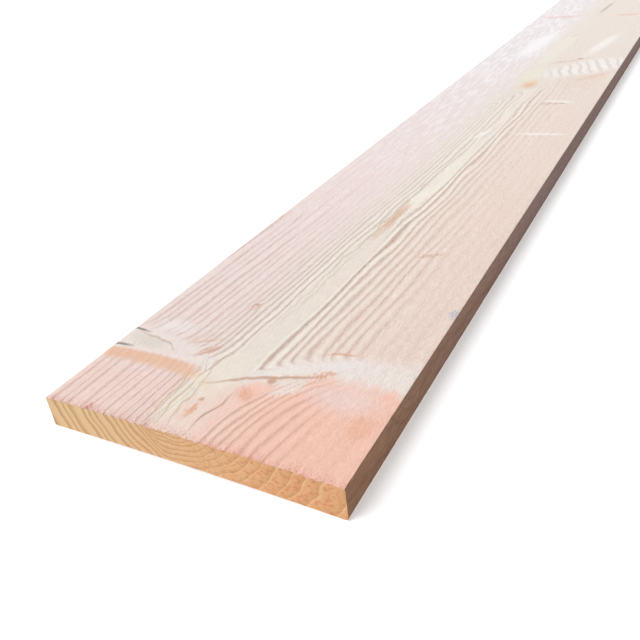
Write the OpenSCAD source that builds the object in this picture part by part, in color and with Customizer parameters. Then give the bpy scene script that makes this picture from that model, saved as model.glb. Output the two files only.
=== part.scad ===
// Fine-sawn softwood plank: one length of stock, wide and thin, cut square at
// both ends. The heart of the tree lies just above its upper face, so the
// board cupped as it dried: the upper face is crowned, and the lower face is
// hollow and rests on its two long arrises.
//
// The length runs along X, the width along Y and the thickness along Z. The
// origin is at the middle of the board's box, on the plane that it lies on.

/* [Board] */
// Length between the two sawn ends
board_l = 3000; // [600:50:6000]
// Width between the two sawn edges
board_w = 200; // [75:5:300]
// Thickness between the upper and the lower face
board_t = 22; // [15:1:50]

/* [Section] */
// Rise of the hollow face above the plane that the board lies on
cup_h = 1.7; // [0.4:0.1:4]
// Width worn off each of the four long arrises
arris_w = 1.2; // [0.4:0.1:3]

/* [Hidden] */

// Distance from the middle of the width to the inner side of a worn arris
face_x = board_w / 2 - arris_w;
// Radius of the hollow face, which meets the worn arrises on the floor
hollow_r = (face_x * face_x + cup_h * cup_h) / (2 * cup_h);
// Radius of the crowned face, at an even thickness from the hollow one
crown_r = hollow_r + board_t;
// Height of the line, far below the board, that both faces are bent round
cup_z = cup_h - hollow_r;
// Height of the crowned face at the inner side of a worn arris
shoulder_z = cup_z + sqrt(crown_r * crown_r - face_x * face_x);
// How far the outline runs past the two curved faces that trim it
overrun = 3;
// Segments in a full circle of each wide face
face_fn = 2880;

// Outline of the board's edges and worn arrises. Above and below, it runs on
// past the wide faces along the slope of the arrises.
module edge_outline() {
    top_z = shoulder_z + overrun;
    polygon([
        [board_w / 2, arris_w],
        [board_w / 2, shoulder_z - arris_w],
        [face_x - overrun, top_z],
        [overrun - face_x, top_z],
        [-board_w / 2, shoulder_z - arris_w],
        [-board_w / 2, arris_w],
        [overrun - face_x, -overrun],
        [face_x - overrun, -overrun]
    ]);
}

// Section of the board, with its width along X and its height along Y
module board_section() {
    difference() {
        intersection() {
            edge_outline();
            translate([0, cup_z]) circle(r = crown_r, $fn = face_fn);
        }
        translate([0, cup_z]) circle(r = hollow_r, $fn = face_fn);
    }
}

module plank() {
    color("#EBCDBF")
    translate([-board_l / 2, 0, 0])
    rotate([90, 0, 90])
    linear_extrude(height = board_l)
    board_section();
}

plank();
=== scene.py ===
import math

import bmesh
import bpy
import numpy as np
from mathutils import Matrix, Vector


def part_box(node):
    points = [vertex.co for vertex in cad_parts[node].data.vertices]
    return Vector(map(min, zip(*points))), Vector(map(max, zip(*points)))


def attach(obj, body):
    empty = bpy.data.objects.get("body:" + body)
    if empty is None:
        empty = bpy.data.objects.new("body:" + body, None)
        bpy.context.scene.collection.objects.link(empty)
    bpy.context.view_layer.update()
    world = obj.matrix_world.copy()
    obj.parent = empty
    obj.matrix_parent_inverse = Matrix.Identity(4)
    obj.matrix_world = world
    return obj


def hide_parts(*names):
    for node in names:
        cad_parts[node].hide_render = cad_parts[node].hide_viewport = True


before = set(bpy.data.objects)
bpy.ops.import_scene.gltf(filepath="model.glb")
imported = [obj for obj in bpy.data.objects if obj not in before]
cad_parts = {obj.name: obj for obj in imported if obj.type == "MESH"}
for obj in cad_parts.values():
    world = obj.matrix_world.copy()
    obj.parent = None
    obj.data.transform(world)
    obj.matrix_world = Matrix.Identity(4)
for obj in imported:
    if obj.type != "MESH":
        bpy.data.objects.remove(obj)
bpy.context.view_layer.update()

# ---------------------------------------------------------------------------
# The board: one length of fine-sawn softwood, as it left the band saw.
# It is 22 mm thick and cupped, crown up, with its long arrises worn round.
# A box is bevelled, subdivided and opened, and both ends are closed again.
# ---------------------------------------------------------------------------
board_low, board_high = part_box("plank")
board_size = board_high - board_low
board_middle = (board_low + board_high) / 2
arris_width = 0.0014
end_rim = 0.0009
# Columns of faces across the wide faces, and rows up the long edges
upper_columns = 220
lower_columns = 60
edge_rows = 8
# Lengths of the board, each with how far it reaches from the near end, its rows of
# faces and its share of the surface map. The near end gets the most for its length.
board_lengths = [
    (0.36, 110, 0.31),
    (0.96, 64, 0.25),
    (board_size.x - 0.12, 84, 0.39),
    (board_size.x, 14, 0.05),
]
reaches, rows, shares = zip(*board_lengths)
# Places nearer to each other than this are taken as one
hair = 1e-5


def select_edges(mesh, wanted):
    """Selects the edges whose two ends pass the test, and nothing else."""
    bpy.ops.mesh.select_all(action="DESELECT")
    found = bmesh.from_edit_mesh(mesh)
    for edge in found.edges:
        edge.select_set(wanted(*(vert.co for vert in edge.verts)))
    bmesh.update_edit_mesh(mesh)


def select_faces(mesh, wanted):
    """Selects the faces that pass the test, and nothing else."""
    bpy.ops.mesh.select_all(action="DESELECT")
    found = bmesh.from_edit_mesh(mesh)
    for face in found.faces:
        face.select_set(wanted(face))
    bmesh.update_edit_mesh(mesh)


def split_edges(mesh, wanted, pieces):
    """Cuts every edge that passes the test into that many pieces, straight across.
    One subdivision makes at most 100 cuts, so a finer one starts with halves."""
    while pieces > 1:
        count = 2 if pieces > 100 else pieces
        select_edges(mesh, wanted)
        bpy.ops.mesh.subdivide(number_cuts=count - 1)
        pieces //= count


def runs_along(a, b, axis, least=0.0):
    """True if the edge from a to b runs along that axis and is longer than the least.
    The axes are 0 along the board, 1 across it and 2 up."""
    step = b - a
    return step.length > least and abs(step[axis]) > 0.99 * step.length


bpy.ops.object.select_all(action="DESELECT")
bpy.ops.mesh.primitive_cube_add(size=1, location=board_middle, scale=board_size)
bpy.ops.object.transform_apply(location=True, rotation=True, scale=True)
board = bpy.context.object
board.name = board.data.name = "sawn_plank"
bpy.ops.object.mode_set(mode="EDIT")

# The box is cut into its lengths, and its long arrises are taken off
for reach in reaches[:-1]:
    bpy.ops.mesh.select_all(action="SELECT")
    bpy.ops.mesh.bisect(plane_co=(board_low.x + reach, 0, 0), plane_no=(1, 0, 0))
select_edges(board.data, lambda a, b: runs_along(a, b, 0))
bpy.ops.mesh.bevel(offset=arris_width, segments=2, profile=0.5, affect="EDGES")

# The ends are opened, so that the two wide faces can take different columns
select_faces(board.data, lambda face: abs(face.normal.x) > 0.9)
bpy.ops.mesh.delete(type="ONLY_FACE")
for start, reach, count in zip((0.0, *reaches), reaches, rows):
    split_edges(
        board.data,
        lambda a, b: runs_along(a, b, 0) and start < (a.x + b.x) / 2 - board_low.x < reach,
        count,
    )
for height, columns in ((board_high.z, upper_columns), (board_low.z, lower_columns)):
    split_edges(
        board.data,
        lambda a, b: runs_along(a, b, 1, board_size.y / 6) and abs(a.z - height) < hair,
        columns,
    )
split_edges(board.data, lambda a, b: runs_along(a, b, 2, board_size.z / 2), edge_rows)

# Each end is closed by one face, with a narrow rim round it, and triangulated
for end in (board_low.x, board_high.x):
    select_edges(board.data, lambda a, b: max(abs(a.x - end), abs(b.x - end)) < hair)
    bpy.ops.mesh.edge_face_add()
    bpy.ops.mesh.inset(thickness=end_rim)
    bpy.ops.mesh.quads_convert_to_tris(ngon_method="BEAUTY")
bpy.ops.mesh.select_all(action="SELECT")
bpy.ops.mesh.normals_make_consistent(inside=False)
bpy.ops.object.mode_set(mode="OBJECT")

# Where each corner of each face is, and which way its face points
corner_vert = np.empty(len(board.data.loops), int)
board.data.loops.foreach_get("vertex_index", corner_vert)
spots = np.empty(len(board.data.vertices) * 3)
board.data.vertices.foreach_get("co", spots)
spots = spots.reshape(-1, 3)[corner_vert] - np.array(board_low)
facings = np.empty(len(board.data.polygons) * 3)
board.data.polygons.foreach_get("normal", facings)
corners = np.empty(len(board.data.polygons), int)
board.data.polygons.foreach_get("loop_total", corners)
facing_x, facing_y, facing_z = np.repeat(facings.reshape(-1, 3), corners, axis=0).T
# A face is on the side of the board that it mostly points to, and so is an arris
mostly = 0.7
on_end = abs(facing_x) > mostly
on_edge = abs(facing_y) > mostly
# The surface map has a strip for each wide face and each long edge, and one for both
# ends: its faces, its foot and its head on the map, and the axis that goes up it,
# which is 1 across the board or 2 through its thickness
map_strips = [
    (facing_z > mostly, 0.002, 0.422, 1),
    (facing_z < -mostly, 0.434, 0.734, 1),
    (on_edge & (facing_y < 0), 0.746, 0.806, 2),
    (on_edge & (facing_y > 0), 0.818, 0.878, 2),
    (on_end, 0.890, 0.996, 2),
]
end_share = 0.48
map_u = np.interp(spots[:, 0], (0.0, *reaches), np.cumsum((0.0, *shares)))
map_v = np.zeros(len(spots))
for on_strip, foot, head, axis in map_strips:
    map_v[on_strip] = foot + (head - foot) * spots[on_strip, axis] / board_size[axis]
end_u = end_share * spots[:, 1] / board_size.y
end_u = np.where(facing_x < 0, end_u, 1 - end_share + end_u)
map_u[on_end] = end_u[on_end]
surface_map = board.data.uv_layers.new(name="OFBake")
surface_map.uv.foreach_set("vector", np.column_stack((map_u, map_v)).astype(np.float32).ravel())


# ---------------------------------------------------------------------------
# The log inside the board: growth rings round the heart of the tree, which
# runs 14 mm above the upper face, and the branches that grew out from it.
# Every face of the board is a cut through this one pattern, in millimetres.
# ---------------------------------------------------------------------------
heart_height = 37.0
# The heart wanders from side to side: its middle, how far it goes, and one full wave
heart_across, wander_width, wander_length, wander_turn = -5.0, 9.0, 1300.0, 0.2
# Years of growth at a distance from the heart: pace * distance ** power + phase
ring_pace, ring_power, ring_phase = 3.54, 0.44, -0.06
# Some years were better than others, by up to this share of a year either way
uneven_years = 0.25
# The part of a year, from one spring to the next, at which its late wood is darkest
late_wood = 0.88
# On the right of the tree the rings grew wider, by this much, from this far out
wide_rings, wide_from = 0.28, 11.0
# Waves that take the rings out of round: how long and wide they are, and how deep
ring_waves = [(300, 60, 4.0), (34, 14, 0.7), (9, 5, 0.35)]
# Wood nearer to the heart than this shows no rings, or only faint ones
plain_heart, ringed_from = 15.8, 18.3
# The two whorls of branches repeat between these places along the board
whorl_start, whorl_stop = -350.0, 1060.0
# Each branch leaves the heart at its root, climbs the tree and sinks into the board
# on its way out, within the distance of its bend, and grows thicker outwards. The
# rings bulge round it, by so much and for so far, on the side of its butt and its tip.
# By some of them there is a stain of dense wood, and bark.
branches = [
    dict(
        root=50, side=1, climb=23, sink=13.5, bend=30, radius=2.0, growth=0.085,
        butt=(5, 3), tip=(9, 8), stain=1.0, bark=1.0,
    ),
    dict(
        root=44, side=-1, climb=45, sink=13.5, bend=28, radius=2.5, growth=0.085,
        butt=(21, 26), tip=(7, 3), stain=0.0, bark=0.0,
    ),
    dict(
        root=732, side=-1, climb=160, sink=13.0, bend=62, radius=4.5, growth=0.09,
        butt=(6, 10), tip=(20, 32), stain=0.0, bark=0.0,
    ),
    dict(
        root=742, side=1, climb=60, sink=9.0, bend=45, radius=1.5, growth=0.05,
        butt=(6, 7), tip=(8, 16), stain=0.0, bark=0.0,
    ),
]
# Twigs that grew down through the board: place along, place across and radius
twigs = [
    (31, 6, 1.6),
    (60, -23, 2.4),
    (133, 33, 1.5),
    (645, -47, 1.6),
    (652, -63, 2.2),
    (858, -18, 2.4),
    (880, -41, 4.0),
]


def add(tree, kind, *values, **settings):
    """Adds a node and gives its first output in use. The values go to its inputs in
    use, in order. A keyword that starts with a capital is an input too, by its name,
    and any other keyword is a setting of the node."""
    made = tree.nodes.new(kind if "Node" in kind else "ShaderNode" + kind)
    named = {name: settings.pop(name) for name in list(settings) if name[0].isupper()}
    for name, value in settings.items():
        setattr(made, name, value)
    wired = list(zip([socket for socket in made.inputs if socket.enabled], values))
    wired += [(made.inputs[name.replace("_", " ")], value) for name, value in named.items()]
    for socket, value in wired:
        if isinstance(value, bpy.types.NodeSocket):
            tree.links.new(value, socket)
        elif value is not None:
            socket.default_value = value
    return next((socket for socket in made.outputs if socket.enabled), None)


def log_pattern(tree, place):
    """Lays the nodes that tell, for a place in the board, its part of the log."""
    mm = add(tree, "VectorMath", place, Scale=1000.0, operation="SCALE")
    mm = add(tree, "VectorMath", mm, (-board_low.x * 1000, 0, 0), operation="ADD")
    along, across, up = add(tree, "SeparateXYZ", mm).node.outputs

    # Each ring goes where the heart goes, and is out of round in its own way
    turn = add(tree, "Math", along, math.tau / wander_length, wander_turn, operation="MULTIPLY_ADD")
    wander = add(tree, "Math", turn, operation="COSINE")
    heart = add(tree, "Math", wander, wander_width, heart_across, operation="MULTIPLY_ADD")
    aside = add(tree, "Math", across, heart, operation="SUBTRACT")
    below = add(tree, "Math", up, heart_height, operation="SUBTRACT")
    wider = add(tree, "Math", aside, -1.0, -wide_from, operation="MULTIPLY_ADD")
    wider = add(tree, "Math", wider, 0.0, operation="MAXIMUM")
    ring_y = add(tree, "Math", wider, wide_rings, aside, operation="MULTIPLY_ADD")
    ring_z = below
    for long, wide, depth in ring_waves:
        scale = (1 / long, 1 / wide, 1 / wide)
        drift = add(tree, "VectorMath", mm, scale, operation="MULTIPLY")
        drift = add(tree, "TexNoise", drift, Detail=0.0).node.outputs["Color"]
        drift = add(tree, "VectorMath", drift, (0.5, 0.5, 0.5), operation="SUBTRACT")
        drift_y, drift_z = add(tree, "SeparateXYZ", drift).node.outputs[1:]
        ring_y = add(tree, "Math", drift_y, depth, ring_y, operation="MULTIPLY_ADD")
        ring_z = add(tree, "Math", drift_z, depth, ring_z, operation="MULTIPLY_ADD")
    radius = add(tree, "CombineXYZ", 0.0, ring_y, ring_z)
    radius = add(tree, "VectorMath", radius, operation="LENGTH")

    # The whorls repeat along the tree, turned over from one to the next
    cycle = whorl_stop - whorl_start
    whorl = add(tree, "Math", along, whorl_stop, whorl_start, operation="WRAP")
    count = add(tree, "Math", along, -whorl_start, operation="ADD")
    count = add(tree, "Math", count, cycle, operation="DIVIDE")
    count = add(tree, "Math", count, operation="FLOOR")
    count = add(tree, "Math", count, 2.0, operation="MODULO")
    hand = add(tree, "Math", count, -2.0, 1.0, operation="MULTIPLY_ADD")
    side_place = add(tree, "Math", aside, hand, operation="MULTIPLY")
    twig_place = add(tree, "Math", across, hand, operation="MULTIPLY")

    # Far from every branch and twig, until one is found nearer
    branch_gap = twig_gap = 1000.0
    stain = bark = 0.0
    for branch in branches:
        out = add(tree, "Math", side_place, float(branch["side"]), operation="MULTIPLY")
        bend = add(tree, "Math", out, -1 / branch["bend"], operation="MULTIPLY")
        bend = add(tree, "Math", bend, operation="EXPONENT")
        bend = add(tree, "Math", 1.0, bend, operation="SUBTRACT")
        climb = add(tree, "Math", bend, -branch["climb"], -branch["root"], operation="MULTIPLY_ADD")
        off_along = add(tree, "Math", whorl, climb, operation="ADD")
        off_up = add(tree, "Math", bend, branch["sink"], below, operation="MULTIPLY_ADD")
        off = add(tree, "CombineXYZ", off_along, off_up, 0.0)
        off = add(tree, "VectorMath", off, operation="LENGTH")
        girth = add(tree, "Math", out, branch["growth"], branch["radius"], operation="MULTIPLY_ADD")
        gap = add(tree, "Math", off, girth, operation="SUBTRACT")
        # The rings bulge outwards round the branch, further on one side than the other
        lean = add(tree, "Math", off_along, off, operation="DIVIDE")
        bulge, reach = (
            add(tree, "MapRange", lean, -0.6, 0.6, -butt, -tip)
            for butt, tip in zip(branch["butt"], branch["tip"])
        )
        swell = add(tree, "Math", gap, 0.0, operation="MAXIMUM")
        swell = add(tree, "Math", swell, reach, operation="DIVIDE")
        swell = add(tree, "Math", swell, operation="EXPONENT")
        radius = add(tree, "Math", swell, bulge, radius, operation="MULTIPLY_ADD")
        # Dense orange wood lies under it, on the side of the butt
        band = add(tree, "MapRange", lean, -0.5, -0.9, 0.0, branch["stain"])
        for start, full in ((18.0, 12.0), (2.0, 5.0)):
            part = add(tree, "MapRange", gap, start, full, 0.0, 1.0)
            band = add(tree, "Math", band, part, operation="MULTIPLY")
        # Bark lies where it meets the wood of the tree
        rim = add(tree, "Math", gap, operation="ABSOLUTE")
        rim = add(tree, "MapRange", rim, 1.7, 0.5, 0.0, branch["bark"])
        branch_gap = add(tree, "Math", branch_gap, gap, operation="MINIMUM")
        stain = add(tree, "Math", stain, band, operation="MAXIMUM")
        bark = add(tree, "Math", bark, rim, operation="MAXIMUM")

    spot = add(tree, "CombineXYZ", whorl, twig_place, 0.0)
    for twig_along, twig_across, twig_radius in twigs:
        gap = add(tree, "VectorMath", spot, (twig_along, twig_across, 0), operation="DISTANCE")
        gap = add(tree, "Math", gap, twig_radius, operation="SUBTRACT")
        twig_gap = add(tree, "Math", twig_gap, gap, operation="MINIMUM")
    swell = add(tree, "MapRange", twig_gap, 0.0, 7.0, -2.0, 0.0)
    radius = add(tree, "Math", radius, swell, operation="ADD")

    # The plain heart narrows between the first whorl and the second
    ringed = radius
    for start, full, amount in ((230.0, 340.0, 5.0), (728.0, 745.0, -5.0)):
        between = add(tree, "MapRange", whorl, start, full, 0.0, amount)
        ringed = add(tree, "Math", ringed, between, operation="ADD")
    ringed = add(tree, "MapRange", ringed, plain_heart, ringed_from, 0.0, 1.0)
    radius = add(tree, "Math", radius, 1.0, operation="MAXIMUM")
    years = add(tree, "Math", radius, ring_power, operation="POWER")
    years = add(tree, "Math", years, ring_pace, ring_phase, operation="MULTIPLY_ADD")
    uneven = add(tree, "TexNoise", W=years, Scale=0.6, Detail=0.0, noise_dimensions="1D")
    years = add(tree, "Math", uneven, 2 * uneven_years, years, operation="MULTIPLY_ADD")
    years = add(tree, "Math", years, -uneven_years, operation="ADD")
    # How far off the nearest line of late wood is, in years
    off_line = add(tree, "Math", years, 1.5 - late_wood, operation="ADD")
    off_line = add(tree, "Math", off_line, operation="FRACT")
    off_line = add(tree, "Math", off_line, 0.5, operation="SUBTRACT")
    return dict(
        mm=mm,
        along=along,
        across=across,
        up=up,
        aside=aside,
        season=add(tree, "Math", years, operation="FRACT"),
        off_line=add(tree, "Math", off_line, operation="ABSOLUTE"),
        ringed=ringed,
        branch_gap=branch_gap,
        twig_gap=twig_gap,
        stain=stain,
        bark=bark,
    )


# ---------------------------------------------------------------------------
# The board's sawn shape: it cupped as it dried, its arrises are rubbed, the
# saw left the late wood of each ring a little low and the branches proud,
# and it tore the fibres along the upper edge of both ends.
# ---------------------------------------------------------------------------
board_thickness = 0.022
cup_rise = board_size.z - board_thickness
half_width = board_size.y / 2
# The whole surface is set in, so that what stands proud of it stays inside the box
set_in = 0.0004
late_wood_depth = 0.0001
branch_rise = 0.0003
rub_depth = 0.0007
tear_depth = 0.0012

relief = bpy.data.node_groups.new("sawn_relief", "GeometryNodeTree")
for in_out in ("INPUT", "OUTPUT"):
    relief.interface.new_socket("Geometry", in_out=in_out, socket_type="NodeSocketGeometry")
solid = add(relief, "NodeGroupInput")
place = add(relief, "GeometryNodeInputPosition")
facing = add(relief, "GeometryNodeInputNormal")
log = log_pattern(relief, place)

# Low late wood and proud branches, on the wide faces only
low = add(
    relief, "MapRange", log["off_line"], 0.24, 0.0, 0.0, -late_wood_depth,
    interpolation_type="SMOOTHSTEP",
)
low = add(relief, "Math", low, log["ringed"], operation="MULTIPLY")
proud = add(relief, "MapRange", log["branch_gap"], 2.0, -4.0, 0.0, branch_rise)
proud = add(relief, "Math", proud, low, operation="ADD")
wide_face = add(relief, "SeparateXYZ", facing).node.outputs["Z"]
wide_face = add(relief, "Math", wide_face, operation="ABSOLUTE")
wide_face = add(relief, "MapRange", wide_face, 0.9, 0.99, 0.0, 1.0)
height = add(relief, "Math", proud, wide_face, operation="MULTIPLY")
height = add(relief, "Math", height, -set_in, operation="ADD")

# Rubbed arrises
long_place = add(relief, "VectorMath", log["mm"], (1 / 14, 1 / 5, 1 / 5), operation="MULTIPLY")
rub = add(relief, "TexNoise", long_place, Detail=3.0)
rub = add(relief, "MapRange", rub, 0.45, 0.75, 0.0, -rub_depth)
arris = add(relief, "SeparateXYZ", place).node.outputs["Y"]
arris = add(relief, "Math", arris, operation="ABSOLUTE")
arris = add(relief, "MapRange", arris, half_width - 0.003, half_width - 0.001, 0.0, 1.0)
edge_face = add(relief, "MapRange", wide_face, 0.0, 0.5, 0.35, 1.0)
rub = add(relief, "Math", rub, arris, operation="MULTIPLY")
rub = add(relief, "Math", rub, edge_face, operation="MULTIPLY")
height = add(relief, "Math", height, rub, operation="ADD")

shift = add(relief, "VectorMath", facing, Scale=height, operation="SCALE")
solid = add(relief, "GeometryNodeSetPosition", solid, Offset=shift)

# Torn fibres, along the rims of the ends
place = add(relief, "GeometryNodeInputPosition")
x, y, z = add(relief, "SeparateXYZ", place).node.outputs
end = add(relief, "Math", x, operation="ABSOLUTE")
end = add(relief, "MapRange", end, board_high.x - 0.0012, board_high.x - 0.0006, 0.0, 1.0)
high = add(relief, "MapRange", z, board_high.z * 0.9, board_high.z * 0.97, 0.0, 1.0)
fibres = add(relief, "VectorMath", place, (90, 620, 90), operation="MULTIPLY")
torn = add(relief, "TexNoise", fibres, Detail=2.0)
torn = add(relief, "MapRange", torn, 0.42, 0.62, 0.0, 1.0)
torn = add(relief, "Math", torn, end, operation="MULTIPLY")
sink = add(relief, "Math", torn, high, operation="MULTIPLY")
sink = add(relief, "Math", sink, -tear_depth, operation="MULTIPLY")

# The cup: the box is squeezed to the board's thickness, and its middle is lifted
share = add(relief, "Math", y, 1 / half_width, operation="MULTIPLY")
share = add(relief, "Math", share, share, operation="MULTIPLY")
crown = add(relief, "Math", share, -cup_rise, cup_rise, operation="MULTIPLY_ADD")
thin = add(relief, "Math", z, -cup_rise / board_size.z, crown, operation="MULTIPLY_ADD")
lift = add(relief, "Math", thin, sink, operation="ADD")
shift = add(relief, "CombineXYZ", 0.0, 0.0, lift)
solid = add(relief, "GeometryNodeSetPosition", solid, Offset=shift)
add(relief, "NodeGroupOutput", solid)

carve = board.modifiers.new("sawn_relief", "NODES")
carve.node_group = relief
bpy.ops.object.modifier_apply(modifier=carve.name)


# ---------------------------------------------------------------------------
# The wide faces: fine-sawn softwood, cut by a band saw and never planed, so it is
# matt and a little furry. It is a pale pink wood, cream along the heart and salmon
# near the sawn end, with a groove for each year's late wood.
# ---------------------------------------------------------------------------
def linear(colour):
    """Turns an sRGB hex colour into the linear one that a shader reads."""
    parts = [int(colour[i : i + 2], 16) / 255 for i in (1, 3, 5)]
    return (*(p / 12.92 if p <= 0.04045 else ((p + 0.055) / 1.055) ** 2.4 for p in parts), 1.0)


def new_material(name, roughness, **sockets):
    """Starts a material for one finish, and gives its tree, shader and the object's place."""
    made = bpy.data.materials.new(name)
    made.use_nodes = True
    shader = made.node_tree.nodes["Principled BSDF"]
    shader.inputs["Roughness"].default_value = roughness
    for socket, value in sockets.items():
        shader.inputs[socket.replace("_", " ")].default_value = value
    place = add(made.node_tree, "TexCoord").node.outputs["Object"]
    board.data.materials.append(made)
    return made.node_tree, shader, place


def oval(tree, place, along, across, length, width, turn=0.0, soft=0.6):
    """Gives 1 in an oval mark on the board, fading to 0 at its rim. It goes right through."""
    shape = (length / 2, width / 2, 1000.0)
    turn = (0, 0, math.radians(turn))
    place = add(tree, "Mapping", place, (along, across, 0), turn, shape, vector_type="TEXTURE")
    away = add(tree, "VectorMath", place, operation="LENGTH")
    return add(tree, "MapRange", away, 1.0, 1.0 - soft, 0.0, 1.0)


# Stains: colour, strength, place along and across, length, width, turn and soft rim
stains = [
    ("#F0E7D6", 0.60, 54, 9, 70, 34, -8),
    ("#F7F2F0", 0.75, 92, 72, 26, 56, 0, 1.0),
    ("#DDD7CC", 0.85, 70, 78, 17, 46, -8),
    ("#E9CFC6", 0.60, 86, 46, 40, 8, -62),
    ("#F3EEE8", 0.60, 66, -30, 26, 46, 30),
    ("#E0BCA2", 0.60, 287, -1, 110, 13, 0),
    ("#D8AE92", 0.60, 300, -3, 76, 7, -3),
    ("#D2B296", 0.75, 237, -54, 28, 6, -60),
    ("#BFC1C6", 0.80, 164, -97, 17, 9, 0),
    ("#D6BBA2", 0.70, 275, 98, 14, 8, 0),
    ("#E6B9AC", 0.50, 131, 33, 14, 14, 0),
    ("#CE7D78", 0.80, 2, 66, 5, 9, 0),
    ("#E7A480", 0.80, 21, 6, 28, 8, -3, 1.0),
    ("#E9A98A", 0.80, 44, -15, 16, 24, -35, 1.0),
    ("#E59A72", 0.80, 75, -48, 26, 6, -60),
    ("#F1D7D0", 0.85, 61, -70, 46, 84, 0, 1.0),
    ("#E3C2AE", 0.80, 60, -24, 13, 10, 0),
    ("#F0E8E8", 0.75, 87, -54, 52, 18, -57, 1.0),
    ("#F5EFE9", 0.70, 55, -36, 30, 9, -50),
    ("#F3EFE0", 0.70, 30, 20, 70, 16, 3),
    ("#EFB08C", 0.40, 42, -88, 26, 18, 0),
    ("#E0A078", 0.55, 74, 32, 24, 8, -42),
    ("#E4C3AF", 0.60, 68, -34, 52, 9, -65, 1.0),
    ("#E3D1C6", 0.50, 760, -60, 240, 80, 0, 1.0),
    ("#E9CCAB", 0.70, 736, -5, 90, 34, -8, 1.0),
    ("#E3B589", 0.75, 729, -6, 46, 24, -8, 1.0),
    ("#EAE3CF", 0.70, 785, 3, 110, 34, -6),
    ("#E7D2C6", 0.70, 770, -80, 150, 36, -8, 1.0),
    ("#E4BFAC", 0.75, 781, -74, 100, 16, -36, 1.0),
    ("#F8F5F0", 0.80, 524, -7, 50, 8, -17),
    ("#F6F1EC", 0.90, 536, -66, 9, 72, 10),
    ("#C99B86", 0.70, 650, -52, 36, 5, -82),
    ("#F4EFEA", 0.70, 660, -58, 12, 54, 0),
    ("#EAE4D6", 0.75, 950, 2, 340, 30, -2),
    ("#F7F2EF", 0.80, 980, -56, 260, 32, -8, 1.0),
    ("#F9F7F9", 0.85, 980, 42, 360, 60, -3, 1.0),
    ("#CFC2AC", 0.70, 1044, -2, 40, 6, -17),
    ("#BDB8A8", 0.80, 1300, -10, 170, 10, -3),
    ("#E6C8C8", 0.80, 1216, 55, 92, 30, -84),
    ("#E4C0B2", 0.75, 1225, -58, 60, 24, -74),
]
# Seams, where the fibres of a branch and of the trunk part: the same, but no strength
seams = [
    ("#C19A86", 24, -5, 44, 2.6, -9),
    ("#C5987A", 62, -20, 96, 4.0, -65),
    ("#DDA98C", 98, -51, 26, 4.0, -68),
    ("#CFA592", 73, 32, 30, 3.0, -42),
    ("#E0B3A0", 82, 40, 30, 3.4, -48),
    ("#D3C3AF", 290, 3, 440, 2.6, -2.1),
    ("#DACCBA", 175, 3, 170, 2.2, -2.5),
    ("#CDB29E", 64, 19, 40, 2.4, -12),
    ("#D8BE9E", 28, 15, 60, 2.0, 4),
    ("#D8BE9E", 26, 21, 64, 2.2, 4),
    ("#D8BE9E", 30, 27, 60, 2.0, 3),
    ("#C9B3A3", 74, 72, 56, 2.6, 68),
    ("#CBB29B", 866, -30, 84, 5.0, -50),
]

tree, shader, place = new_material("fine_sawn_softwood", 0.9, Specular_IOR_Level=0.15)
log = log_pattern(tree, place)
along, across = log["along"], log["across"]

# Pale pink, cream along the heart, and paler and greyer away from the sawn end, which is painted
# glare
blotch = add(tree, "VectorMath", log["mm"], (1 / 90, 1 / 32, 1 / 32), operation="MULTIPLY")
blotch = add(tree, "TexNoise", blotch, Detail=4.0)
sway = add(tree, "Math", blotch, 60.0, across, operation="MULTIPLY_ADD")
left = add(tree, "MapRange", sway, 35.0, 80.0, 0.0, 1.0)
right = add(tree, "MapRange", sway, 24.0, -5.0, 0.0, 1.0)
cream, lilac, beige = linear("#EBE0D5"), linear("#EFD9D5"), linear("#ECD4C8")
colour = add(tree, "Mix", right, cream, beige, data_type="RGBA")
# Painted glare: with distance from the sawn end the face is mixed towards a pale grey, and its
# lilac on the left towards a paler grey
far = add(tree, "Math", blotch, 500.0, along, operation="MULTIPLY_ADD")
painted_far_glare = add(tree, "MapRange", far, 450.0, 1250.0, 0.0, 0.9)
colour = add(tree, "Mix", painted_far_glare, colour, linear("#E6DDD5"), data_type="RGBA")
painted_far_left_glare = add(tree, "MapRange", far, 350.0, 1150.0, 0.0, 1.0)
lilac = add(tree, "Mix", painted_far_left_glare, lilac, linear("#E5E0E2"), data_type="RGBA")
colour = add(tree, "Mix", left, colour, lilac, data_type="RGBA")

# White mottle on the left, only where the painted glare of the far left is
mottle = add(tree, "VectorMath", log["mm"], (1 / 160, 1 / 22, 1 / 22), operation="MULTIPLY")
mottle = add(tree, "TexNoise", mottle, Detail=2.0)
mottle = add(tree, "MapRange", mottle, 0.48, 0.60, 0.0, 0.8)
for part in (left, painted_far_left_glare):
    mottle = add(tree, "Math", mottle, part, operation="MULTIPLY")
colour = add(tree, "Mix", mottle, colour, linear("#F8F5F7"), data_type="RGBA")

# Salmon wood on the butt side of the first branches
limit = add(tree, "MapRange", across, 16.0, -58.0, 47.0, 80.0)
uneven = add(tree, "Math", blotch, 24.0, -12.0, operation="MULTIPLY_ADD")
fresh = add(tree, "Math", uneven, along, operation="ADD")
fresh = add(tree, "Math", fresh, limit, operation="SUBTRACT")
fresh = add(tree, "MapRange", fresh, 2.0, -10.0, 0.0, 1.0)
off_heart = add(tree, "Math", uneven, log["aside"], operation="ADD")
off_heart = add(tree, "Math", off_heart, operation="ABSOLUTE")
off_heart = add(tree, "MapRange", off_heart, 4.0, 24.0, 0.5, 1.0)
fresh = add(tree, "Math", fresh, off_heart, operation="MULTIPLY")
salmon = add(tree, "MapRange", across, -40.0, 30.0, 0.0, 1.0)
salmon = add(tree, "Mix", salmon, linear("#F8C7B4"), linear("#F6DBD1"), data_type="RGBA")
colour = add(tree, "Mix", fresh, colour, salmon, data_type="RGBA")

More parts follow.
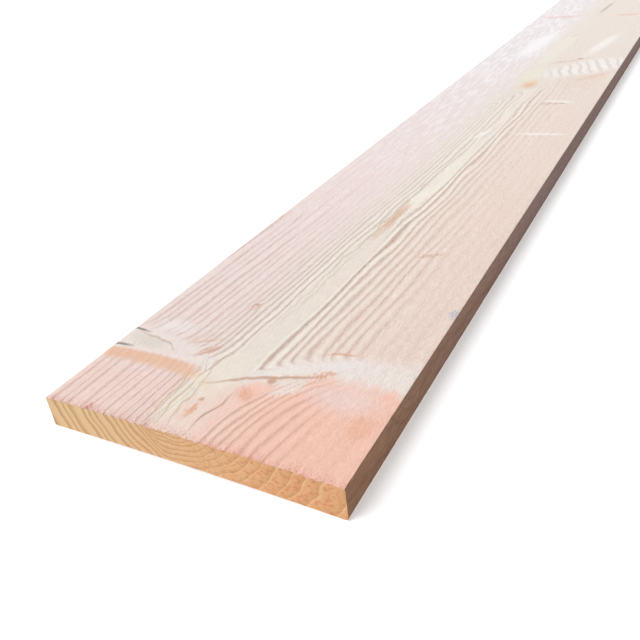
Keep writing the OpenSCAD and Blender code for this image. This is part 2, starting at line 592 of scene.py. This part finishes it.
# The branches are off-white, in a paler halo
wood_in = add(tree, "MapRange", log["branch_gap"], 1.0, -1.5, 0.0, 0.6)
halo = add(tree, "MapRange", log["branch_gap"], 11.0, 1.0, 0.0, 0.55)
clear = add(tree, "MapRange", log["branch_gap"], 1.5, 7.0, 0.0, 1.0)
for less in (log["stain"], fresh):
    bare = add(tree, "Math", 1.0, less, operation="SUBTRACT")
    halo = add(tree, "Math", halo, bare, operation="MULTIPLY")
colour = add(tree, "Mix", halo, colour, linear("#F1EBE7"), data_type="RGBA")
colour = add(tree, "Mix", wood_in, colour, linear("#EEE2DB"), data_type="RGBA")
stain = add(tree, "Math", log["stain"], 0.85, operation="MULTIPLY")
colour = add(tree, "Mix", stain, colour, linear("#EBBC9B"), data_type="RGBA")

# Each year's late wood is a groove, strong by the heart and broken where the saw tore
# it. It fades out to the right and, beyond the first branches, to the left, and comes
# back on the far half of the board.
groove = add(tree, "MapRange", log["off_line"], 0.24, 0.0, 0.0, 1.0)
groove = add(tree, "Math", groove, log["ringed"], operation="MULTIPLY")
groove = add(tree, "Math", groove, clear, operation="MULTIPLY")
# On the left the saw tore it into dashes, with fainter ones between two years
dashes = add(tree, "VectorMath", log["mm"], (1 / 4.5, 1 / 2, 1 / 9), operation="MULTIPLY")
dashes = add(tree, "TexNoise", dashes, Detail=2.0)
torn = add(tree, "MapRange", across, 10.0, 30.0, 0.0, 1.0)
least = add(tree, "Mix", torn, 0.6, 0.1)
broken = add(tree, "MapRange", dashes, 0.40, 0.58, least, 1.5)
between = add(tree, "MapRange", log["off_line"], 0.36, 0.5, 0.0, 0.55)
between = add(tree, "Math", between, torn, operation="MULTIPLY")
groove = add(tree, "Math", groove, between, operation="MAXIMUM")
groove = add(tree, "Math", groove, broken, operation="MULTIPLY")
# It is strongest by the heart, and most of all in the first ring to the right
first_ring = 12.0
beside = add(tree, "Math", log["aside"], operation="ABSOLUTE")
beside = add(tree, "MapRange", beside, 14.0, 40.0, 1.5, 0.75)
first = add(tree, "Math", log["aside"], first_ring, operation="ADD")
first = add(tree, "Math", first, operation="ABSOLUTE")
first = add(tree, "MapRange", first, 4.5, 2.5, 0.0, 0.8)
beside = add(tree, "Math", beside, first, operation="ADD")
softer = add(tree, "MapRange", along, 220.0, 480.0, 1.0, 0.6)
beside = add(tree, "Math", beside, softer, operation="MULTIPLY")
groove = add(tree, "Math", groove, beside, operation="MULTIPLY")
# It fades to each side and with the distance, but not close round a branch
right_fade = add(tree, "MapRange", across, -72.0, -50.0, 0.25, 1.0)
further = add(tree, "MapRange", along, 150.0, 300.0, 1.0, 0.7)
away = add(tree, "MapRange", log["aside"], -30.0, -18.0, 0.0, 1.0)
further = add(tree, "Mix", away, further, 1.0)
right_fade = add(tree, "Math", right_fade, further, operation="MULTIPLY")
left_fade = add(tree, "MapRange", far, 420.0, 640.0, 1.0, 0.3)
left_fade = add(tree, "Mix", torn, 1.0, left_fade)
end_fade = add(tree, "MapRange", far, 900.0, 1120.0, 1.0, 0.12)
again = add(tree, "MapRange", along, 1450.0, 1750.0, 0.0, 0.85)
left_fade = add(tree, "Math", left_fade, again, operation="MAXIMUM")
end_fade = add(tree, "Math", end_fade, again, operation="MAXIMUM")
fade = add(tree, "Math", right_fade, left_fade, operation="MULTIPLY")
fade = add(tree, "Math", fade, end_fade, operation="MULTIPLY")
fade = add(tree, "Math", fade, halo, operation="MAXIMUM")
groove = add(tree, "Math", groove, fade, operation="MULTIPLY")
bare = add(tree, "Math", log["stain"], -0.9, 1.0, operation="MULTIPLY_ADD")
groove = add(tree, "Math", groove, bare, operation="MULTIPLY")
# It is a soft brown, pinker on the left, and the wood between two years is paler
line = add(tree, "Mix", torn, 0.32, 0.45)
line = add(tree, "Math", line, groove, operation="MULTIPLY")
brown = add(tree, "Mix", torn, linear("#B3907C"), linear("#CD9F94"), data_type="RGBA")
colour = add(tree, "Mix", line, colour, brown, data_type="RGBA")
pale = add(tree, "MapRange", log["off_line"], 0.22, 0.46, 0.0, 0.55)
pale = add(tree, "Math", pale, fade, operation="MULTIPLY")
pale = add(tree, "Math", pale, beside, operation="MULTIPLY")
pale = add(tree, "Math", pale, log["ringed"], operation="MULTIPLY")
for part in (fresh, log["stain"]):
    bare = add(tree, "MapRange", part, 0.0, 1.0, 1.0, 0.3)
    pale = add(tree, "Math", pale, bare, operation="MULTIPLY")
colour = add(tree, "Mix", pale, colour, linear("#F6F1E6"), data_type="RGBA")

# Bark round the branch that comes out at the left edge
outside = add(tree, "MapRange", across, 82.0, 91.0, 0.0, 0.9)
bark = add(tree, "Math", log["bark"], outside, operation="MULTIPLY")
colour = add(tree, "Mix", bark, colour, linear("#77726B"), data_type="RGBA")

# Stains and seams, on the upper face only, with ragged outlines
ragged = add(tree, "VectorMath", log["mm"], (1 / 16, 1 / 4, 1 / 4), operation="MULTIPLY")
ragged = add(tree, "TexNoise", ragged, Detail=3.0).node.outputs["Color"]
ragged = add(tree, "VectorMath", ragged, (20, 9, 0), (-10, -4.5, 0), operation="MULTIPLY_ADD")
stain_place = add(tree, "VectorMath", ragged, log["mm"], operation="ADD")
bent = add(tree, "TexNoise", log["mm"], Scale=1 / 26, Detail=2.0).node.outputs["Color"]
bent = add(tree, "VectorMath", bent, (16, 12, 0), (-8, -6, 0), operation="MULTIPLY_ADD")
seam_place = add(tree, "VectorMath", bent, log["mm"], operation="ADD")
upper = add(tree, "MapRange", log["up"], 8.0, 12.0, 0.0, 1.0)
patchy = add(tree, "VectorMath", log["mm"], (1 / 15, 1 / 2.6, 1 / 4), operation="MULTIPLY")
patchy = add(tree, "TexNoise", patchy, Detail=3.0, Roughness=0.6)
patchy = add(tree, "Math", patchy, 1.4, -0.7, operation="MULTIPLY_ADD")
# Each mark's rim is patchy, so that it follows the grain and isn't a clean oval
for stain_colour, strength, *where in stains:
    mark = oval(tree, stain_place, *where)
    mark = add(tree, "Math", mark, patchy, operation="ADD")
    mark = add(tree, "MapRange", mark, 0.3, 0.75, 0.0, strength)
    mark = add(tree, "Math", mark, upper, operation="MULTIPLY")
    colour = add(tree, "Mix", mark, colour, linear(stain_colour), data_type="RGBA")
# Small brown twigs
eye = add(tree, "MapRange", log["twig_gap"], 0.8, -0.8, 0.0, 0.6)
colour = add(tree, "Mix", eye, colour, linear("#B98A6C"), data_type="RGBA")
# The grain curls over a thick branch in pale ribs
rib_spacing = 13.0
curl = oval(tree, stain_place, 832, -60, 170, 74, -38, 0.4)
curl = add(tree, "Math", curl, upper, operation="MULTIPLY")
rib_along, rib_across = add(tree, "SeparateXYZ", seam_place).node.outputs[:2]
rib = add(tree, "Math", rib_along, -0.25, rib_across, operation="MULTIPLY_ADD")
rib = add(tree, "Math", rib, math.tau / rib_spacing, operation="MULTIPLY")
rib = add(tree, "Math", rib, operation="SINE")
rib = add(tree, "MapRange", rib, -0.1, 0.9, 0.0, 0.75)
rib = add(tree, "Math", rib, curl, operation="MULTIPLY")
curl = add(tree, "Math", curl, 0.9, operation="MULTIPLY")
colour = add(tree, "Mix", curl, colour, linear("#F2ECE8"), data_type="RGBA")
colour = add(tree, "Mix", rib, colour, linear("#DACEC7"), data_type="RGBA")
bare = add(tree, "Math", 1.0, curl, operation="SUBTRACT")
groove = add(tree, "Math", groove, bare, operation="MULTIPLY")
groove = add(tree, "Math", groove, rib, operation="ADD")
for seam_colour, *where in seams:
    mark = oval(tree, seam_place, *where)
    mark = add(tree, "Math", mark, upper, operation="MULTIPLY")
    groove = add(tree, "Math", groove, mark, operation="MAXIMUM")
    mark = add(tree, "Math", mark, 0.75, operation="MULTIPLY")
    colour = add(tree, "Mix", mark, colour, linear(seam_colour), data_type="RGBA")

# Fibres along the grain, and the teeth marks of the saw across it
fibres = add(tree, "VectorMath", log["mm"], (1 / 26, 1 / 1.5, 1 / 5), operation="MULTIPLY")
fibres = add(tree, "TexNoise", fibres, Detail=4.0, Roughness=0.6)
teeth = add(tree, "VectorMath", log["mm"], (1 / 2.0, 1 / 5, 1 / 9), operation="MULTIPLY")
teeth = add(tree, "TexNoise", teeth, Detail=3.0, Roughness=0.6)
both = add(tree, "Math", fibres, teeth, operation="ADD")
tone = add(tree, "MapRange", both, 0.7, 1.3, 0.87, 1.10)
tone = add(tree, "CombineXYZ", tone, tone, tone)
fuzz = add(tree, "MapRange", fibres, 0.50, 0.66, 0.0, 0.5)
for part in (fresh, log["stain"]):
    bare = add(tree, "MapRange", part, 0.0, 1.0, 1.0, 0.2)
    fuzz = add(tree, "Math", fuzz, bare, operation="MULTIPLY")
colour = add(tree, "Mix", fuzz, colour, linear("#F8F2ED"), data_type="RGBA")
blush = add(tree, "MapRange", teeth, 0.50, 0.66, 0.0, 0.35)
blush = add(tree, "Math", blush, left, operation="MULTIPLY")
colour = add(tree, "Mix", blush, colour, linear("#DDB5AC"), data_type="RGBA")
frayed = add(tree, "MapRange", along, 7.0, 0.0, 0.0, 0.9)
tuft = add(tree, "VectorMath", log["mm"], (1 / 9, 1 / 2.5, 1 / 9), operation="MULTIPLY")
tuft = add(tree, "TexNoise", tuft, Detail=3.0)
tuft = add(tree, "MapRange", tuft, 0.46, 0.62, 0.0, 1.0)
frayed = add(tree, "Math", frayed, tuft, operation="MULTIPLY")
colour = add(tree, "Mix", frayed, colour, linear("#D99284"), data_type="RGBA")
colour = add(tree, "VectorMath", colour, tone, operation="MULTIPLY")
tree.links.new(colour, shader.inputs["Base Color"])

# Relief of the sawn face, in mm
groove_depth, fibre_depth, tooth_depth = 0.26, 0.60, 0.50
height = add(
    tree, "MapRange", groove, 0.0, 1.0, 0.0, -groove_depth,
    interpolation_type="SMOOTHSTEP",
)
height = add(tree, "Math", fibres, fibre_depth, height, operation="MULTIPLY_ADD")
height = add(tree, "Math", teeth, tooth_depth, height, operation="MULTIPLY_ADD")
bump = add(tree, "Bump", Height=height, Distance=0.001, Strength=1.0)
tree.links.new(bump, shader.inputs["Normal"])


# ---------------------------------------------------------------------------
# The ends: end grain cut by a coarse saw, which drinks the light and so looks
# golden brown, and shows the rings as arcs round the heart above the board.
# ---------------------------------------------------------------------------
tree, shader, place = new_material("sawn_end_grain", 0.9, Specular_IOR_Level=0.25)
log = log_pattern(tree, place)
# Golden on the left, and orange and blotchy on the right
side = add(tree, "MapRange", log["across"], 60.0, -60.0, 0.0, 1.0)
gold, orange = linear("#DAB88E"), linear("#DAA77A")
colour = add(tree, "Mix", side, gold, orange, data_type="RGBA")
blotch = add(tree, "VectorMath", log["mm"], (1 / 9, 1 / 14, 1 / 9), operation="MULTIPLY")
blotch = add(tree, "TexNoise", blotch, Detail=3.0)
mottle = add(tree, "MapRange", blotch, 0.48, 0.66, 0.0, 1.0)
mottle = add(tree, "Math", mottle, side, operation="MULTIPLY")
colour = add(tree, "Mix", mottle, colour, linear("#CE8A60"), data_type="RGBA")
# Late wood darkens slowly and ends sharply, and the first wood of a year is light
late = add(tree, "MapRange", log["season"], 0.45, 0.9, 0.0, 1.0)
sharp = add(tree, "MapRange", log["season"], 1.0, 0.93, 0.0, 1.0)
late = add(tree, "Math", late, sharp, operation="MULTIPLY")
line = add(tree, "MapRange", side, 0.3, 0.7, 0.7, 0.3)
line = add(tree, "Math", line, late, operation="MULTIPLY")
colour = add(tree, "Mix", line, colour, linear("#AB7E4B"), data_type="RGBA")
early = add(tree, "MapRange", log["season"], 0.16, 0.02, 0.0, 1.0)
light = add(tree, "MapRange", side, 0.3, 0.7, 0.1, 0.5)
light = add(tree, "Math", light, early, operation="MULTIPLY")
colour = add(tree, "Mix", light, colour, linear("#EAC499"), data_type="RGBA")
# The cut is open and rough
pores = add(tree, "VectorMath", log["mm"], (1 / 2, 1 / 1.6, 1 / 2.6), operation="MULTIPLY")
pores = add(tree, "TexNoise", pores, Detail=4.0, Roughness=0.6)
tone = add(tree, "MapRange", pores, 0.3, 0.7, 0.84, 1.14)
tone = add(tree, "CombineXYZ", tone, tone, tone)
colour = add(tree, "VectorMath", colour, tone, operation="MULTIPLY")
# Fibres of the upper face hang over the rim in pink tufts
top = board_size.z * 1000
pink = add(tree, "MapRange", log["up"], 0.9 * top, top, 0.0, 1.0)
tuft = add(tree, "MapRange", pores, 0.48, 0.6, 0.0, 0.8)
pink = add(tree, "Math", pink, tuft, operation="MULTIPLY")
colour = add(tree, "Mix", pink, colour, linear("#E3A695"), data_type="RGBA")
tree.links.new(colour, shader.inputs["Base Color"])
height = add(tree, "Math", late, 0.10, operation="MULTIPLY")
height = add(tree, "Math", pores, 0.6, height, operation="MULTIPLY_ADD")
bump = add(tree, "Bump", Height=height, Distance=0.001, Strength=1.0)
tree.links.new(bump, shader.inputs["Normal"])


# ---------------------------------------------------------------------------
# The long edges: sawn before the wide faces were, so they are weathered to a
# brown in streaks along the grain. They are darker than the rest partly from
# that weathering and partly from painted shade.
# ---------------------------------------------------------------------------
tree, shader, place = new_material("weathered_and_shaded_sawn_edge", 0.85, Specular_IOR_Level=0.25)
log = log_pattern(tree, place)
# Streaks along the grain, brown near the sawn end and greyer further on
streaks = add(tree, "VectorMath", log["mm"], (1 / 60, 1 / 6, 1 / 3.5), operation="MULTIPLY")
streaks = add(tree, "TexNoise", streaks, Detail=4.0)
streaks = add(tree, "MapRange", streaks, 0.32, 0.68, 0.0, 1.0)
# These browns are dark partly from weathering and partly from painted shade
colour = add(tree, "Mix", streaks, linear("#78543D"), linear("#9D765A"), data_type="RGBA")
grey = add(tree, "Mix", streaks, linear("#705852"), linear("#8F7670"), data_type="RGBA")
sway = add(tree, "Math", streaks, 150.0, log["along"], operation="MULTIPLY_ADD")
greyed = add(tree, "MapRange", sway, 80.0, 480.0, 0.0, 1.0)
colour = add(tree, "Mix", greyed, colour, grey, data_type="RGBA")
late = add(tree, "MapRange", log["season"], 0.7, 0.95, 0.0, 0.35)
colour = add(tree, "Mix", late, colour, linear("#6C4932"), data_type="RGBA")
# Fibres along the edge, and the marks of the saw across it
fibres = add(tree, "VectorMath", log["mm"], (1 / 14, 1 / 2, 1 / 0.7), operation="MULTIPLY")
fibres = add(tree, "TexNoise", fibres, Detail=3.0)
teeth = add(tree, "VectorMath", log["mm"], (1 / 1.6, 1 / 9, 1 / 10), operation="MULTIPLY")
teeth = add(tree, "TexNoise", teeth, Detail=2.0)
both = add(tree, "Math", fibres, teeth, operation="ADD")
tone = add(tree, "MapRange", both, 0.6, 1.4, 0.86, 1.14)
tone = add(tree, "CombineXYZ", tone, tone, tone)
colour = add(tree, "VectorMath", colour, tone, operation="MULTIPLY")
tree.links.new(colour, shader.inputs["Base Color"])
height = add(tree, "Math", fibres, 0.2, operation="MULTIPLY")
height = add(tree, "Math", teeth, 0.15, height, operation="MULTIPLY_ADD")
bump = add(tree, "Bump", Height=height, Distance=0.001, Strength=1.0)
tree.links.new(bump, shader.inputs["Normal"])

# The whole board: each face takes the finish of the side that it is on
finish = np.where(on_end, 1, np.where(on_edge, 2, 0))[np.cumsum(corners) - 1]
board.data.polygons.foreach_set("material_index", finish.astype(np.int32))
bpy.ops.object.shade_smooth_by_angle(angle=math.radians(40))
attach(board, "root")
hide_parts("plank")


# ---------------------------------------------------------------------------
# The studio: a near-white floor, one soft lamp high beyond the near left corner,
# and a pale room round them. The floor's matt paint has a weak glow of its own,
# so that the shadow of the board stays faint.
# ---------------------------------------------------------------------------
bpy.ops.object.select_all(action="DESELECT")
bpy.ops.mesh.primitive_plane_add(size=40.0, location=(0, 0, board_low.z))
floor = bpy.context.object
floor.name = floor.data.name = "floor"
painted = bpy.data.materials.new("matt_white_paint")
painted.use_nodes = True
shader = painted.node_tree.nodes["Principled BSDF"]
shader.inputs["Base Color"].default_value = linear("#F4F4F4")
shader.inputs["Roughness"].default_value = 0.9
shader.inputs["Specular IOR Level"].default_value = 0.1
shader.inputs["Emission Color"].default_value = linear("#FFFFFF")
shader.inputs["Emission Strength"].default_value = 0.2
floor.data.materials.append(painted)

lamp_from = Vector((-0.45, 0.40, 0.80)).normalized()
lamp = bpy.data.lights.new("soft_lamp", "SUN")
lamp.energy = 2.16
lamp.angle = math.radians(40)
lamp_object = bpy.data.objects.new("soft_lamp", lamp)
lamp_object.rotation_euler = lamp_from.to_track_quat("Z", "Y").to_euler()
lamp_object.location = lamp_from * 4
bpy.context.scene.collection.objects.link(lamp_object)

room = bpy.data.worlds.new("pale_room")
room.use_nodes = True
backdrop = room.node_tree.nodes["Background"]
backdrop.inputs["Color"].default_value = linear("#FFFFFF")
backdrop.inputs["Strength"].default_value = 0.66
bpy.context.scene.world = room

scene = bpy.context.scene
scene.view_settings.view_transform = "Standard"
scene.view_settings.look = "None"
scene.view_settings.exposure = 0.0
scene.view_settings.gamma = 1.0

# The camera stands off the near right corner, 0.24 m above the board, and looks
# down along it. Its angles are in degrees about X, then Y, then Z.
camera = bpy.data.cameras.new("camera")
camera.sensor_width = 36.0
camera.lens = 39.5
camera.clip_start = 0.01
camera.clip_end = 100.0
camera_object = bpy.data.objects.new("camera", camera)
camera_object.location = (board_low.x - 0.2059, -0.2229, 0.2604)
camera_object.rotation_euler = [math.radians(angle) for angle in (58.668, 5.745, -62.065)]
scene.collection.objects.link(camera_object)
scene.camera = camera_object
